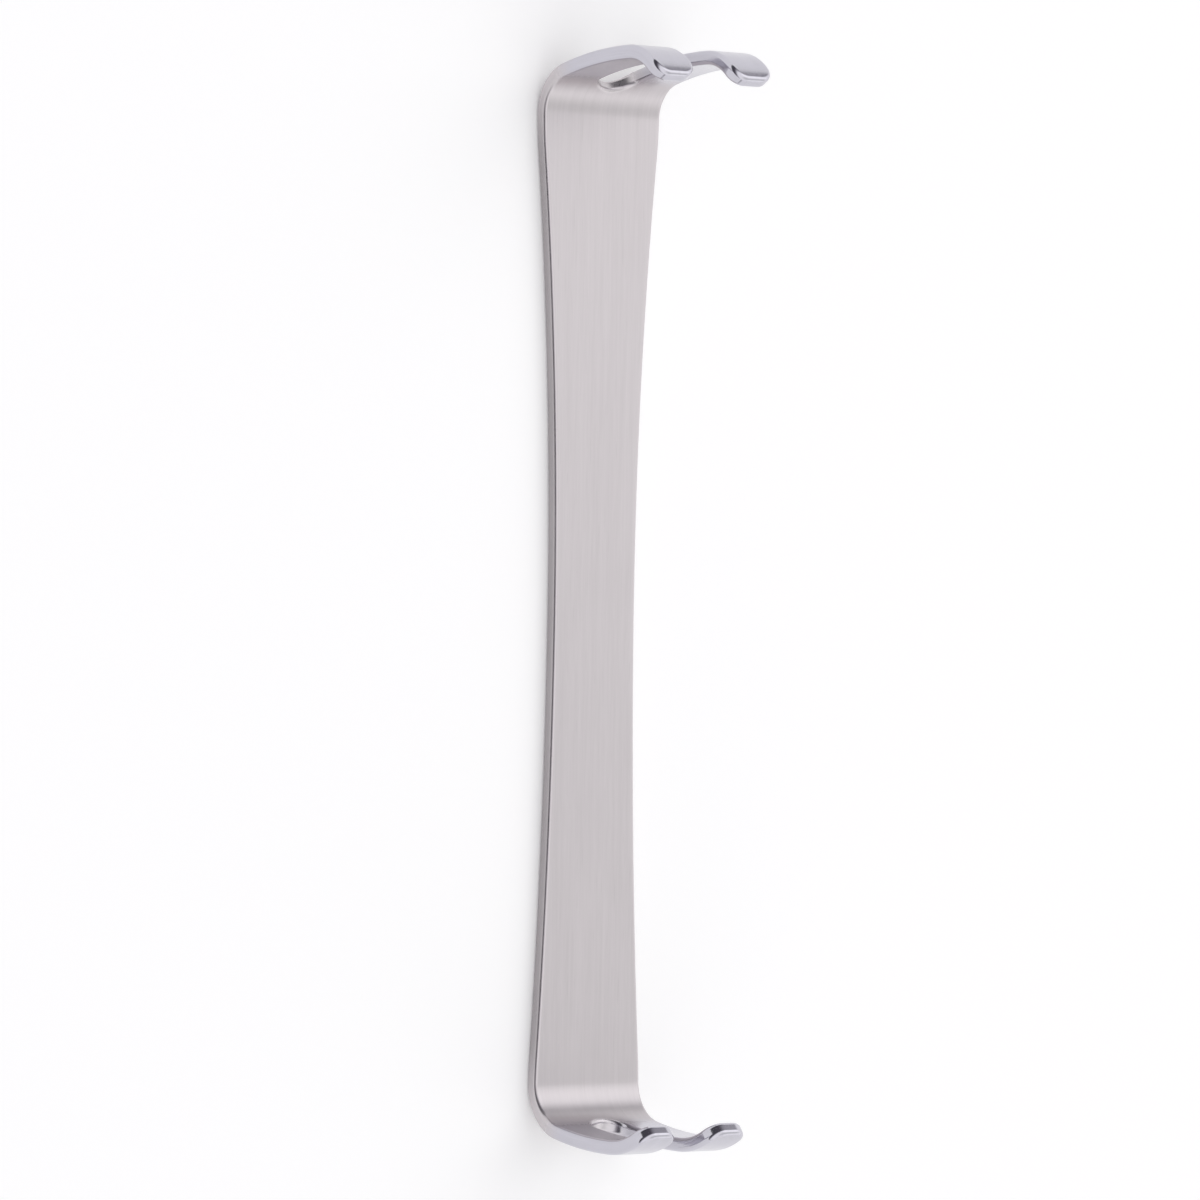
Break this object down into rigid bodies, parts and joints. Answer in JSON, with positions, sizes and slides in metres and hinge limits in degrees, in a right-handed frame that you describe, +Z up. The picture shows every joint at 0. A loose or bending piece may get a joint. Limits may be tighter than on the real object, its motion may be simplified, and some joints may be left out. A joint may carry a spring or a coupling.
{
  "type": "handheld surgical retractor",
  "caption": "Hand retractor bent from one strip of sheet steel, with a flat waisted handle and a hooked, forked blade at each end, for holding tissue aside.",
  "frame": {"origin": "centre of the length and width, on the back face of the handle, which is the face it lies on", "axes": "+Y along the handle towards the wider blade, +X across the handle, +Z up, the way both blades stand"},
  "size_m": [0.0204, 0.15, 0.027],
  "materials": {
    "steel": "satin stainless steel"
  },
  "bodies": {
    "root": {"retractor": "steel"}
  },
  "joints": []
}
